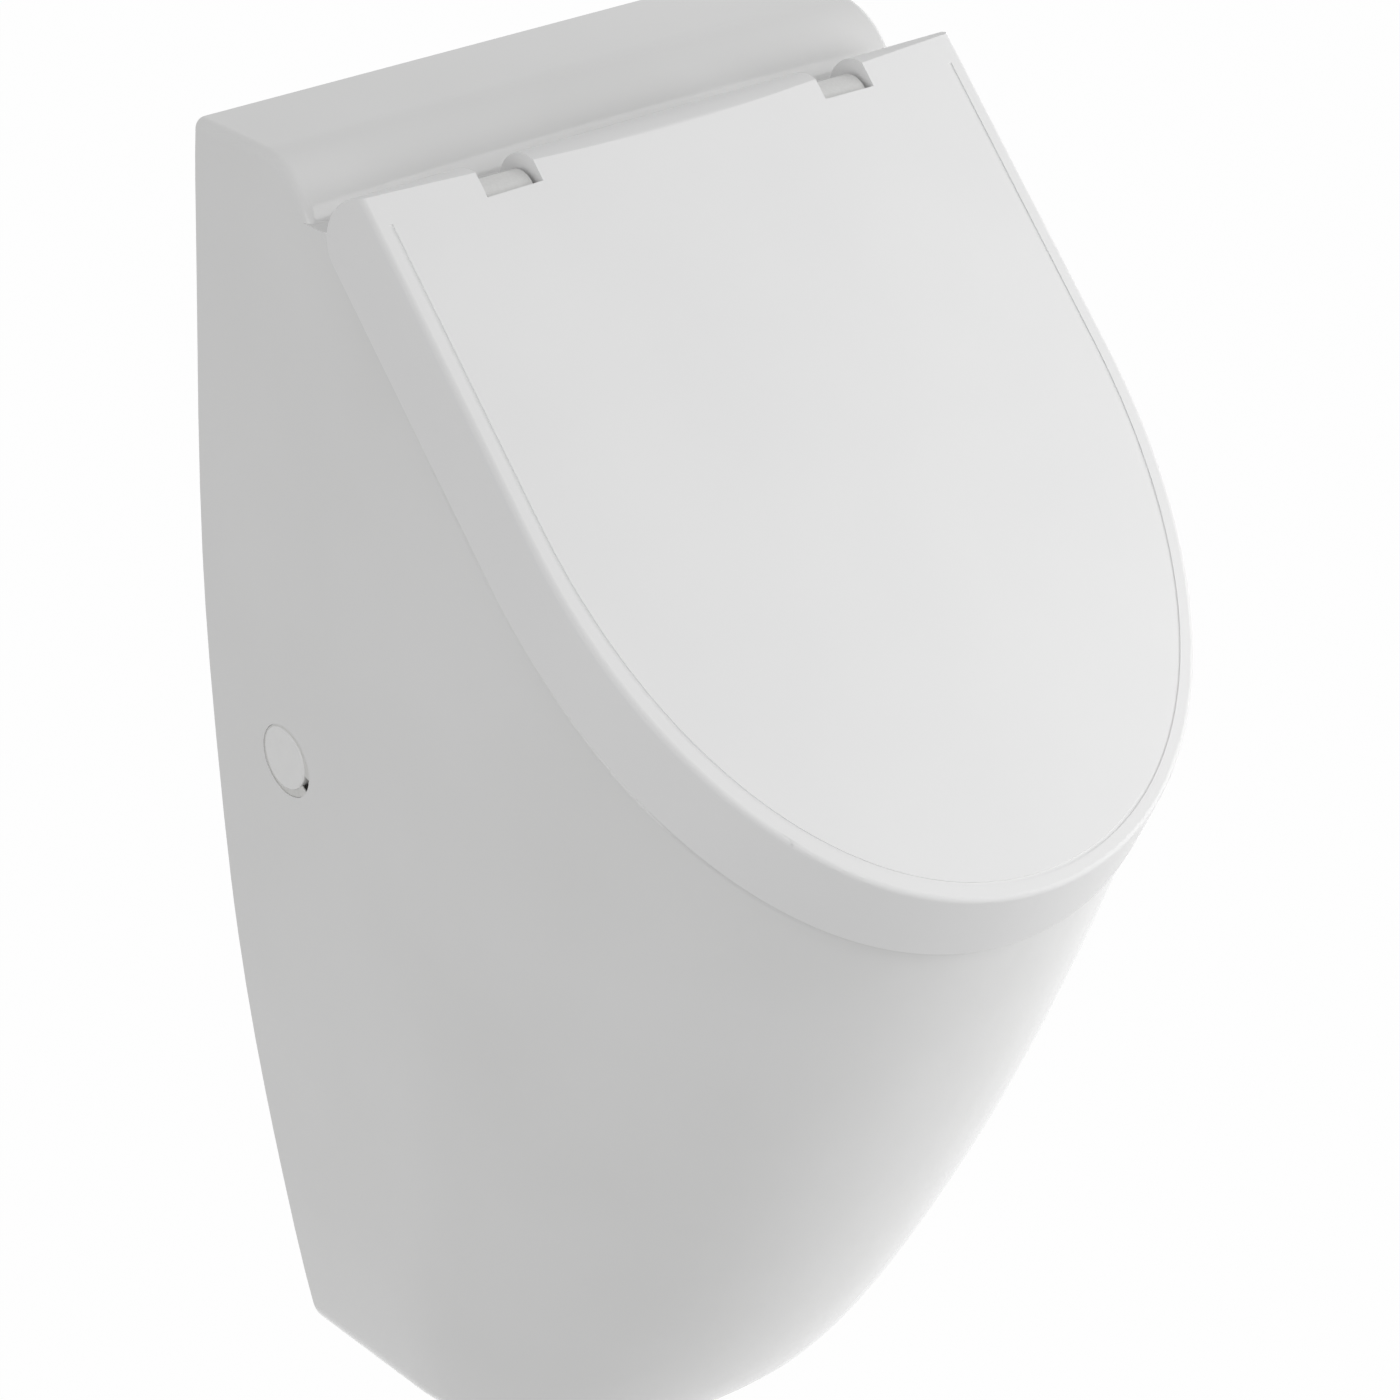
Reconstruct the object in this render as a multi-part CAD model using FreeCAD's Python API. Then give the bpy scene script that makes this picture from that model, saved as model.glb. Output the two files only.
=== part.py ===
"""Wall-hung urinal with a sloping lid: glazed ceramic bowl, soft-close lid, side fixings, inlet and trap.

Lengths are in millimetres. +Z is up, +Y points into the wall and the user stands on the -Y side.
Heights are modelled from the underside of the ceramic. Every piece is moved at the end so that the
origin lies on the wall, midway between the two bracket screws.
"""

import FreeCAD, Part
import math
import os
from FreeCAD import Placement, Rotation, Vector

# Overall size of the ceramic with its lid.
WIDTH = 285.0
HEIGHT = 535.0
DEPTH = 315.0
WALL = 11.0
CUT_OVERRUN = 5.0

# Plan sections of the outside, from the underside up: shares of HEIGHT, of half WIDTH and of DEPTH.
OUTSIDE_SHARES = (
    (0.000, 0.724, 0.451),
    (0.075, 0.784, 0.552),
    (0.168, 0.843, 0.651),
    (0.280, 0.905, 0.756),
    (0.393, 0.951, 0.849),
    (0.523, 0.981, 0.946),
    (0.654, 0.997, 1.035),
    (0.804, 0.986, 1.124),
    (0.935, 0.965, 1.194),
    (1.000, 0.951, 1.225),
)
STRAIGHT_SIDE_SHARE = 0.42
FRONT_FULLNESS_SHARE = 0.80
FOOT_ROUNDING = 20.0

# The ledge along the top, with a quarter-round front and a small floor behind the lid.
LEDGE_FLAT = 40.0
LEDGE_ROUND = 33.0
LEDGE_FLOOR_DROP = 19.6
LEDGE_END_ROUNDING = 4.0

# The sloping rim that the lid lies on: where its plane starts, and its angle above the horizontal.
RIM_START_DEPTH = 78.5
RIM_START_DROP = 17.15
RIM_SLOPE_DEG = 46.5
RIM_THICKNESS = 14.0
RIM_LIP_ROUNDING = 3.0

# The bowl: where its mouth starts down the rim, the rim's width in front and beside it, and its outlet.
BOWL_START = 58.0
RIM_FRONT_WIDTH = 22.0
RIM_SIDE_WIDTH = 26.5
OUTLET_FROM_WALL = 102.0
OUTLET_HEIGHT = 112.0

# Sections of the bowl in planes parallel to the rim: share of the outlet's distance from the rim, then upper
# end, middle and lower end as shares of the mouth's length, and share of half the mouth's width.
BOWL_SHARES = (
    (0.000, 0.000, 0.322, 1.000, 1.000),
    (0.229, 0.050, 0.364, 1.021, 0.957),
    (0.458, 0.207, 0.467, 1.054, 0.845),
    (0.687, 0.558, 0.769, 1.099, 0.638),
    (0.878, 0.868, 1.008, 1.149, 0.319),
)
BOWL_FULLNESS_SHARE = 0.80

# Side fixing: cap, sleeve, screw and wall bracket on each side.
FIX_HEIGHT = 296.0
FIX_DEPTH = 47.0
SIDE_BORE_R = 9.0
SIDE_RECESS_R = 14.6
SIDE_RECESS_DEPTH = 8.0
FIT_GAP = 0.1
SLEEVE_FLANGE_R = 13.0
SLEEVE_FLANGE = 1.5
SLEEVE_INNER_GAP = 0.3
SIDE_SCREW_R = 4.0
SIDE_SCREW_HEAD_R = 7.0
SIDE_SCREW_HEAD = 3.0
SIDE_SCREW_SOCKET_R = 2.6
SIDE_SCREW_SOCKET_DEPTH = 1.8
SIDE_SCREW_TAIL = 8.0
CAP_R = 12.7
CAP_THICKNESS = 2.2
CAP_SINK = 0.2
CAP_SHIFT = 1.5
CAP_EDGE_ROUNDING = 0.8
CAP_LEG_R = 10.8
CAP_LEG_WALL = 2.0
BRACKET_PLATE = 4.0
BRACKET_GAP = 1.6
BRACKET_ARM = 6.0
BRACKET_ARM_REACH = 66.0
BRACKET_HEIGHT = 44.0
BRACKET_FOOT = 46.0
BRACKET_HOLE_R = 4.5
BRACKET_HOLE_INSET = 27.72
BRACKET_ROUNDING = 5.0

# Waste: ceramic outlet, strainer, lip seal and bottle trap with an outlet to the wall.
OUTLET_R = 24.0
SPIGOT_WALL = 11.0
SPIGOT_DROP = 38.0
STRAINER_HEIGHT = 12.0
STRAINER_RIM = 2.4
STRAINER_SLOT = 4.0
STRAINER_SLOTS = 5
STRAINER_PITCH = 7.6
STRAINER_GAP = 0.3
TRAP_WALL = 3.0
TRAP_INLET_R = 19.5
TRAP_INLET_REACH = 12.0
TRAP_DIP_GAP = 12.0
TRAP_CUP_R = 40.0
TRAP_CUP_GAP = 4.0
TRAP_FLOOR_GAP = 4.0
TRAP_CUP_ROUNDING = 8.0
TRAP_OUTLET_R = 20.0
TRAP_SOCKET_R = 25.0
TRAP_SOCKET_LENGTH = 30.0
WALL_CLEARANCE = 1.0
SEAL_LIP = 1.6
SEAL_LIPS = 3
OUTLET_SEAL_LENGTH = 12.0

# Water inlet: boss in the bowl's back, spray head, gasket, lock nut, seal and pipe from the wall.
BOSS_R = 27.0
BOSS_PROUD = 11.0
BOSS_LENGTH = 30.0
INLET_BORE_R = 13.0
SPRAY_TUBE_R = 12.7
SPRAY_TUBE_BORE_R = 9.5
SPRAY_TAIL = 18.0
SPRAY_FLANGE_R = 22.0
SPRAY_FLANGE = 4.0
SPRAY_DOME = 12.0
SPRAY_SLOT = 2.2
SPRAY_SLOTS = 7
SPRAY_SLOT_SPREAD_DEG = 140.0
GASKET = 2.0
GASKET_R = 20.0
LOCK_NUT_ACROSS = 40.0
LOCK_NUT = 9.0
INLET_PIPE_R = 7.5
INLET_PIPE_BORE_R = 6.0
INLET_PIPE_REACH = 26.0
INLET_COLLAR_R = 9.2
INLET_COLLAR = 6.0
INLET_SEAL_LENGTH = 12.0

# Lid: skirted shell with a crowned top and a full-round back edge about the hinge axis.
LID_GAP = 2.0
LID_SKIRT = 25.0
LID_CROWN = 5.0
LID_SIDE_INSET = 1.0
LID_OVERHANG = 4.0
LID_SIDE_DRAFT = 5.5
LID_FRONT_DRAFT = 8.0
LID_STRAIGHT_SHARE = 0.43
LID_FULLNESS_SHARE = 0.76
LID_BACK_PROUD = 0.4
LID_WALL = 6.0
LID_CREST_ROUNDING = 2.5
LID_GROOVE_INSET = 5.5
LID_GROOVE_WIDTH = 1.4
LID_GROOVE_DEPTH = 0.35

# Hinges: posts on the rim, pins, damper cartridges, bolts with bushes, washers and nuts.
HINGE_SPACING = 155.0
KNUCKLE_WIDTH = 20.0
KNUCKLE_R = 10.0
NOTCH_GAP = 2.0
NOTCH_FRONT_GAP = 1.0
NECK_THICKNESS = 13.0
POST_FLANGE_R = 10.5
POST_FLANGE = 2.5
PIN_R = 4.0
PIN_GAP = 0.05
PIN_OUTER_REACH = 16.0
PIN_INNER_REACH = 12.0
LUG_R = 13.0
LUG_OUTER_LENGTH = 24.0
LUG_INNER_LENGTH = 50.0
DAMPER_R = 7.5
DAMPER_LENGTH = 42.0
DAMPER_FLAT = 1.0
HINGE_BOLT_R = 3.0
HINGE_BOLT_LENGTH = 38.0
HINGE_BORE_R = 7.0
HINGE_PAD = 1.0
HINGE_BUSH_R = 6.8
HINGE_WASHER_R = 11.0
HINGE_WASHER = 1.6
HINGE_NUT_ACROSS = 13.0
HINGE_NUT = 6.5
HINGE_SPOT_R = 12.5
HINGE_SPOT_DEPTH = 12.0

# Rubber buffers under the lid: places as shares of LID_LENGTH and LID_WIDTH.
BUFFER_R = 6.0
BUFFER_REST = 0.3
BUFFER_PAD = 3.5
BUFFER_BOSS_WALL = 1.5
BUFFER_DOWN_SHARES = (0.36, 0.79)
BUFFER_ACROSS_SHARES = (0.445, 0.332)

ALONG_X = Vector(1, 0, 0)
ALONG_Y = Vector(0, 1, 0)
ALONG_Z = Vector(0, 0, 1)
RIM_START = Vector(0, -RIM_START_DEPTH, HEIGHT - RIM_START_DROP)
RIM_PLACE = Placement(RIM_START, Rotation(ALONG_X, RIM_SLOPE_DEG))
HINGE_DOWN = (LID_SKIRT + LID_CROWN) / 2 + LID_BACK_PROUD
HINGE_UP = LID_GAP + HINGE_DOWN
HINGE_X = HINGE_SPACING / 2
LID_WIDTH = WIDTH - LID_SIDE_INSET * 2
BOWL_WIDTH = WIDTH - RIM_SIDE_WIDTH * 2


def outside_at(height):
    """Half width and depth of the outside at a height, between its plan sections."""
    rows = [(HEIGHT * up, WIDTH / 2 * wide, DEPTH * deep) for up, wide, deep in OUTSIDE_SHARES]
    for low, high in zip(rows, rows[1:]):
        if low[0] <= height <= high[0]:
            part = (height - low[0]) / (high[0] - low[0])
            return low[1] + (high[1] - low[1]) * part, low[2] + (high[2] - low[2]) * part
    return rows[-1][1], rows[-1][2]


def rim_front():
    """How far down the rim its front edge lies, where the rim's plane meets the outside."""
    near, far = 0, HEIGHT
    for _ in range(60):
        middle = (near + far) / 2
        point = RIM_PLACE.multVec(Vector(0, -middle, 0))
        inside = point.z > 0 and -point.y < outside_at(point.z)[1]
        near, far = (middle, far) if inside else (near, middle)
    return near


LID_LENGTH = rim_front() + LID_OVERHANG
BOWL_LENGTH = rim_front() - RIM_FRONT_WIDTH - BOWL_START
OUTLET_ON_RIM = RIM_PLACE.inverse().multVec(Vector(0, -OUTLET_FROM_WALL, OUTLET_HEIGHT))
BOWL_DEPTH = -OUTLET_ON_RIM.z


# Shapes that several pieces need.


def rim_point(across, down, up):
    """A point on the rim's own axes: across, down the slope, and up from the rim."""
    return RIM_PLACE.multVec(Vector(across, -down, up))


def on_rim(shape):
    """Moves a shape drawn on the rim's own axes (X across, Y up the slope, Z away from the rim)."""
    moved = shape.copy()
    moved.Placement = RIM_PLACE.multiply(moved.Placement)
    return moved


def mirrored(shape):
    """The same piece for the other side."""
    return shape.mirror(Vector(0, 0, 0), ALONG_X)


def rod(radius, start, end, direction):
    """A round bar along a direction, from start to end measured along it through the given line."""
    axis, origin = direction
    return Part.makeCylinder(radius, end - start, origin + axis * start, axis)


def ring(outer, inner, start, end, direction):
    """A round tube along a direction."""
    return rod(outer, start, end, direction).cut(rod(inner, start - CUT_OVERRUN, end + CUT_OVERRUN, direction))


def box(low, high):
    """A box between two corners."""
    size = high - low
    return Part.makeBox(size.x, size.y, size.z, low)


def hexagon(across, start, end, direction):
    """A hexagonal bar along a direction."""
    axis, origin = direction
    side = Vector(0, 0, 1) if abs(axis.z) < abs(axis.x) + abs(axis.y) else Vector(0, 1, 0)
    other = axis.cross(side)
    side = other.cross(axis)
    radius = across / math.sqrt(3)
    turns = [math.radians(60 * k) for k in range(7)]
    corners = [
        origin + axis * start + other.normalize() * (radius * math.cos(t)) + side.normalize() * (radius * math.sin(t))
        for t in turns
    ]
    return Part.Face(Part.makePolygon(corners)).extrude(axis * (end - start))


def quarter(first, corner, last, fullness):
    """A quarter of a squared ellipse between two points, bending towards a corner."""
    curve = Part.BSplineCurve()
    curve.buildFromPolesMultsKnots([first, corner, last], [3, 3], [0.0, 1.0], False, 2, [1.0, fullness, 1.0])
    return curve.toShape()


def plan_wire(half_width, depth, height, back, straight_share, fullness):
    """A plan section: straight back and sides, rounded front."""
    side_end = -depth * straight_share
    corners = [Vector(half_width, back, height), Vector(half_width, side_end, height)]
    nose = Vector(0, -depth, height)
    left = [Vector(-p.x, p.y, p.z) for p in corners]
    edges = [
        Part.makeLine(left[0], corners[0]),
        Part.makeLine(corners[0], corners[1]),
        quarter(corners[1], Vector(half_width, -depth, height), nose, fullness),
        quarter(nose, Vector(-half_width, -depth, height), left[1], fullness),
        Part.makeLine(left[1], left[0]),
    ]
    return Part.Wire(edges)


def outside(side_inset, front_inset, back):
    """The whole outside form through the plan sections, drawn in by an inset and cut off at a back plane."""
    wires = []
    for up_share, width_share, depth_share in OUTSIDE_SHARES:
        half_width = WIDTH / 2 * width_share - side_inset
        depth = DEPTH * depth_share - front_inset
        level = HEIGHT * up_share
        wires.append(plan_wire(half_width, depth, level, back, STRAIGHT_SIDE_SHARE, FRONT_FULLNESS_SHARE))
    return Part.makeLoft(wires, True, False)


def side_prism(points_and_arcs):
    """A prism across the whole width from a closed outline of edges in the YZ plane."""
    face = Part.Face(Part.Wire(points_and_arcs))
    return face.extrude(ALONG_X * (WIDTH * 2))


def ledge_prism(inset, thickness, back):
    """The side view of the ceramic: ledge, quarter-round, floor and sloping rim, drawn in, up to a back plane."""
    left = -WIDTH
    slope = math.radians(RIM_SLOPE_DEG)
    top = HEIGHT - inset
    middle = Vector(left, -LEDGE_FLAT, HEIGHT - LEDGE_ROUND)
    radius = LEDGE_ROUND - inset
    floor = HEIGHT - LEDGE_FLOOR_DROP - thickness
    floor_turn = math.acos((floor - middle.z) / radius)
    half_turn = floor_turn / 2
    start = Vector(left, -LEDGE_FLAT, top)
    halfway = middle + Vector(0, -radius * math.sin(half_turn), radius * math.cos(half_turn))
    floor_back = middle + Vector(0, -radius * math.sin(floor_turn), radius * math.cos(floor_turn))
    rim_depth = RIM_START_DEPTH - thickness / math.sin(slope)
    floor_front = Vector(left, -rim_depth - (HEIGHT - RIM_START_DROP - floor) / math.tan(slope), floor)
    low_front = floor_front + Vector(0, -HEIGHT / math.tan(slope), -HEIGHT)
    corners = [
        low_front,
        Vector(left, back, low_front.z),
        Vector(left, back, top),
        start,
    ]
    edges = [Part.makeLine(a, b) for a, b in zip(corners, corners[1:])]
    edges.append(Part.Arc(start, halfway, floor_back).toShape())
    edges.append(Part.makeLine(floor_back, floor_front))
    edges.append(Part.makeLine(floor_front, low_front))
    return side_prism(edges)


# Ceramic body.


def bowl_form(wall):
    """The bowl's cavity, or with a wall its outside, lofted through planes parallel to the rim."""
    wires = []
    rows = []
    for depth_share, upper_share, middle_share, lower_share, width_share in BOWL_SHARES:
        ends = [BOWL_START + BOWL_LENGTH * share for share in (upper_share, middle_share, lower_share)]
        rows.append([BOWL_DEPTH * depth_share] + ends + [BOWL_WIDTH / 2 * width_share])
    rows.insert(0, [-CUT_OVERRUN] + rows[0][1:])
    outlet = -OUTLET_ON_RIM.y
    rows.append([BOWL_DEPTH, outlet - OUTLET_R, outlet, outlet + OUTLET_R, OUTLET_R])
    for depth, upper, middle, lower, half_width in rows:
        top = Vector(0, -upper + wall, -depth)
        bottom = Vector(0, -lower - wall, -depth)
        right = Vector(half_width + wall, -middle, -depth)
        left = Vector(-right.x, right.y, right.z)
        turns = [top, right, bottom, left, top]
        edges = []
        for a, b in zip(turns, turns[1:]):
            corner = Vector(a.x + b.x, 0, -depth)
            corner.y = a.y if a.x == 0 else b.y
            edges.append(quarter(a, corner, b, BOWL_FULLNESS_SHARE))
        wires.append(Part.Wire(edges))
    return on_rim(Part.makeLoft(wires, True, False))


def rounded_foot(form):
    """Rounds the lower edge of the outside form, apart from the edge on the wall."""
    low = [e for e in form.Edges if e.BoundBox.ZMax < HEIGHT * OUTSIDE_SHARES[1][0] / 2]
    rounded = [e for e in low if e.BoundBox.YMin < -WALL]
    return form.makeFillet(FOOT_ROUNDING, rounded)


def rounded_skin(skin):
    """Rounds the ends of the ledge and the outer edge of the rim."""
    low = HEIGHT - LEDGE_FLOOR_DROP
    ends = [
        e
        for e in skin.Edges
        if e.BoundBox.ZMin > low - FIT_GAP and e.BoundBox.XLength < WIDTH / 4
        and e.BoundBox.YLength > FIT_GAP and e.BoundBox.ZMax > low + FIT_GAP
    ]
    skin = skin.makeFillet(LEDGE_END_ROUNDING, ends)
    to_rim = RIM_PLACE.inverse()
    lip = [
        e
        for e in skin.Edges
        if all(abs(to_rim.multVec(p).z) < FIT_GAP for p in e.discretize(5)) and e.BoundBox.YLength > WALL
    ]
    return skin.makeFillet(RIM_LIP_ROUNDING, lip)


def outlet_line():
    """The vertical line through the waste outlet."""
    return ALONG_Z, Vector(0, -OUTLET_FROM_WALL, 0)


def spigot_end():
    """Height of the lower end of the ceramic outlet."""
    return OUTLET_HEIGHT - SPIGOT_DROP


def inlet_spot():
    """The place on the bowl's back where the water comes in, midway between two of its sections."""
    ends = []
    for depth_share, upper_share, _, _, _ in BOWL_SHARES[1:3]:
        ends.append(rim_point(0, BOWL_START + BOWL_LENGTH * upper_share, -BOWL_DEPTH * depth_share))
    return (ends[0] + ends[1]) * (1 / 2)


def inlet_line():
    """The level line through the water inlet, from the front of its boss to the wall."""
    return ALONG_Y, inlet_spot() - Vector(0, BOSS_PROUD, 0)


def wall_from_boss():
    """The distance from the front of the inlet's boss to the wall."""
    return BOSS_PROUD - inlet_spot().y


def fix_line():
    """The level line through the right side fixing, running outwards."""
    return ALONG_X, Vector(0, -FIX_DEPTH, FIX_HEIGHT)


def hinge_bolt_line(side):
    """The line through a hinge bolt, square to the rim and pointing away from it."""
    foot = rim_point(side * HINGE_X, HINGE_DOWN, 0)
    return rim_point(side * HINGE_X, HINGE_DOWN, 1) - foot, foot


def side_face_x():
    """Half width of the ceramic at the height of the side fixing."""
    return outside_at(FIX_HEIGHT)[0]


def recess_floor_x():
    """Where the floor of the cap's recess lies."""
    return side_face_x() - SIDE_RECESS_DEPTH


def side_wall_x():
    """Where the inner face of the ceramic's side wall lies at the side fixing."""
    return side_face_x() - WALL


def arm_face_x():
    """Where the outer face of a bracket's arm lies, a little inside the ceramic's side wall."""
    return side_wall_x() - BRACKET_GAP


def make_ceramic_body():
    """Hollow-cast body: outer skin open to the wall, sloping rim, and the bowl inside it."""
    skin = rounded_skin(rounded_foot(outside(0, 0, WALL)).common(ledge_prism(0, 0, 0)))
    hollow = outside(WALL, WALL, WALL * 2).common(ledge_prism(WALL, RIM_THICKNESS, WALL))
    hollow = hollow.cut(box(Vector(-WIDTH, -DEPTH * 2, -CUT_OVERRUN), Vector(WIDTH, DEPTH, WALL)))
    tilt = math.sin(math.radians(RIM_SLOPE_DEG))
    neck_top = OUTLET_HEIGHT + OUTLET_R * tilt
    spigot = rod(OUTLET_R + SPIGOT_WALL, spigot_end(), neck_top + WALL, outlet_line())
    bowl = bowl_form(WALL).fuse(spigot).common(skin)
    boss = rod(BOSS_R, 0, BOSS_LENGTH, inlet_line())
    body = skin.cut(hollow.cut(bowl))
    body = body.cut(bowl_form(0)).fuse(boss)
    body = body.cut(rod(OUTLET_R, spigot_end() - CUT_OVERRUN, neck_top, outlet_line()))
    body = body.cut(rod(INLET_BORE_R, -CUT_OVERRUN, BOSS_LENGTH + CUT_OVERRUN, inlet_line()))
    bore = rod(SIDE_BORE_R, side_wall_x() - CUT_OVERRUN, WIDTH, fix_line())
    bore = bore.fuse(rod(SIDE_RECESS_R, recess_floor_x(), WIDTH, fix_line()))
    body = body.cut(bore).cut(mirrored(bore))
    for side in (-1, 1):
        line = hinge_bolt_line(side)
        body = body.cut(rod(HINGE_BORE_R, -RIM_THICKNESS - CUT_OVERRUN, CUT_OVERRUN, line))
        body = body.cut(rod(HINGE_SPOT_R, -RIM_THICKNESS - HINGE_SPOT_DEPTH, -RIM_THICKNESS, line))
    return body.removeSplitter()


# Side fixings, drawn for the right side.


def make_screw_sleeve():
    """Plastic sleeve that lines the hole in the ceramic and carries the screw's head."""
    line = fix_line()
    floor = recess_floor_x()
    tube = rod(SIDE_BORE_R - FIT_GAP, arm_face_x(), floor, line)
    flange = rod(SLEEVE_FLANGE_R, floor, floor + SLEEVE_FLANGE, line)
    bore = rod(SIDE_SCREW_R + SLEEVE_INNER_GAP, 0, WIDTH, line)
    return tube.fuse(flange).cut(bore).removeSplitter()


def make_side_screw():
    """Screw with a low head, through the sleeve into the bracket's arm."""
    line = fix_line()
    seat = recess_floor_x() + SLEEVE_FLANGE
    shank = rod(SIDE_SCREW_R, arm_face_x() - BRACKET_ARM - SIDE_SCREW_TAIL, seat, line)
    head = rod(SIDE_SCREW_HEAD_R, seat, seat + SIDE_SCREW_HEAD, line)
    top = seat + SIDE_SCREW_HEAD
    socket = hexagon(SIDE_SCREW_SOCKET_R * 2, top - SIDE_SCREW_SOCKET_DEPTH, top + CUT_OVERRUN, line)
    return shank.fuse(head).cut(socket).removeSplitter()


def make_cover_cap():
    """Push-in cap with a round face set back in the recess, leaving a crescent to pry it out by."""
    line = fix_line()
    face_top = side_face_x() - CAP_SINK
    shifted = (ALONG_X, Vector(0, -FIX_DEPTH + CAP_SHIFT, FIX_HEIGHT + CAP_SHIFT / 2))
    face = rod(CAP_R, face_top - CAP_THICKNESS, face_top, shifted)
    outer_edge = [e for e in face.Edges if e.BoundBox.XMin > face_top - CAP_THICKNESS / 2]
    face = face.makeFillet(CAP_EDGE_ROUNDING, outer_edge)
    leg_start = recess_floor_x() + SLEEVE_FLANGE
    legs = ring(CAP_LEG_R, CAP_LEG_R - CAP_LEG_WALL, leg_start, face_top - CAP_THICKNESS, line)
    return face.fuse(legs).removeSplitter()


def make_wall_bracket():
    """Bent steel bracket: a foot on the wall with a screw hole, and an arm that the side screw pulls on."""
    arm_outer = arm_face_x()
    arm_inner = arm_outer - BRACKET_ARM
    low = FIX_HEIGHT - BRACKET_HEIGHT / 2
    high = FIX_HEIGHT + BRACKET_HEIGHT / 2
    arm = box(Vector(arm_inner, -BRACKET_ARM_REACH, low), Vector(arm_outer, 0, high))
    foot = box(Vector(arm_outer - BRACKET_FOOT, -BRACKET_PLATE, low), Vector(arm_outer, 0, high))
    bracket = arm.fuse(foot).removeSplitter()
    inner_corner = [
        e
        for e in bracket.Edges
        if abs(e.BoundBox.XMax - arm_inner) < FIT_GAP and abs(e.BoundBox.YMax + BRACKET_PLATE) < FIT_GAP
        and e.BoundBox.ZLength > BRACKET_HEIGHT / 2
    ]
    bracket = bracket.makeFillet(BRACKET_ROUNDING, inner_corner)
    wall_hole = (ALONG_Y, Vector(arm_outer - BRACKET_HOLE_INSET, 0, FIX_HEIGHT))
    bracket = bracket.cut(rod(BRACKET_HOLE_R, -BRACKET_PLATE - CUT_OVERRUN, CUT_OVERRUN, wall_hole))
    return bracket.cut(rod(SIDE_SCREW_R, 0, WIDTH, fix_line()))


# Waste outlet.


def make_outlet_strainer():
    """Slotted strainer that drops into the outlet."""
    line = outlet_line()
    top = spigot_end() + TRAP_INLET_REACH + STRAINER_HEIGHT
    middle = -OUTLET_FROM_WALL
    radius = OUTLET_R - STRAINER_GAP
    cup = rod(radius, top - STRAINER_HEIGHT, top, line)
    cup = cup.cut(rod(radius - STRAINER_RIM, top - STRAINER_HEIGHT - CUT_OVERRUN, top - STRAINER_RIM, line))
    first = -STRAINER_PITCH * (STRAINER_SLOTS - 1) / 2
    for k in range(STRAINER_SLOTS):
        x = first + STRAINER_PITCH * k
        reach = math.sqrt((radius - STRAINER_RIM * 2) ** 2 - (abs(x) + STRAINER_SLOT / 2) ** 2)
        slot = box(
            Vector(x - STRAINER_SLOT / 2, middle - reach, top - STRAINER_HEIGHT),
            Vector(x + STRAINER_SLOT / 2, middle + reach, top + CUT_OVERRUN),
        )
        cup = cup.cut(slot)
    return cup.removeSplitter()


def lipped_ring(outer, inner, start, end, line):
    """A rubber ring with lips round its outside."""
    seal = ring(outer - SEAL_LIP, inner, start, end, line)
    pitch = (end - start) / SEAL_LIPS
    for k in range(SEAL_LIPS):
        lip_start = start + pitch * k
        seal = seal.fuse(ring(outer, inner, lip_start, lip_start + pitch / 2, line))
    return seal.removeSplitter()


def make_outlet_seal():
    """Lip seal between the ceramic outlet and the trap's inlet tube."""
    start = spigot_end()
    return lipped_ring(OUTLET_R, TRAP_INLET_R, start, start + OUTLET_SEAL_LENGTH, outlet_line())


def make_trap_body():
    """Bottle trap: dip tube, cup and outlet to the wall."""
    line = outlet_line()
    middle = -OUTLET_FROM_WALL
    cup_top = spigot_end() - TRAP_CUP_GAP
    cup_low = WALL + TRAP_FLOOR_GAP
    cup = rod(TRAP_CUP_R, cup_low, cup_top, line)
    round_edges = [e for e in cup.Edges if e.BoundBox.ZLength < FIT_GAP]
    cup = cup.makeFillet(TRAP_CUP_ROUNDING, round_edges)
    outlet = (ALONG_Y, Vector(0, 0, (cup_top + cup_low) / 2))
    pipe = rod(TRAP_OUTLET_R, middle, -WALL_CLEARANCE, outlet)
    socket = rod(TRAP_SOCKET_R, -WALL_CLEARANCE - TRAP_SOCKET_LENGTH, -WALL_CLEARANCE, outlet)
    dip_end = cup_low + TRAP_WALL + TRAP_DIP_GAP
    tube = rod(TRAP_INLET_R, dip_end, spigot_end() + TRAP_INLET_REACH, line)
    inside = rod(TRAP_CUP_R - TRAP_WALL, cup_low + TRAP_WALL, cup_top - TRAP_WALL, line)
    inner_edges = [e for e in inside.Edges if e.BoundBox.ZLength < FIT_GAP]
    inside = inside.makeFillet(TRAP_CUP_ROUNDING - TRAP_WALL, inner_edges)
    pipe_bore = rod(TRAP_OUTLET_R - TRAP_WALL, middle, CUT_OVERRUN, outlet)
    socket_end = -WALL_CLEARANCE - TRAP_SOCKET_LENGTH + TRAP_WALL
    socket_bore = rod(TRAP_SOCKET_R - TRAP_WALL, socket_end, CUT_OVERRUN, outlet)
    trap = cup.fuse(pipe).fuse(socket).cut(inside).cut(pipe_bore).cut(socket_bore).fuse(tube)
    dip = rod(TRAP_INLET_R - TRAP_WALL, dip_end - CUT_OVERRUN, HEIGHT, line)
    return trap.cut(dip).removeSplitter()


# Water inlet.


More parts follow.
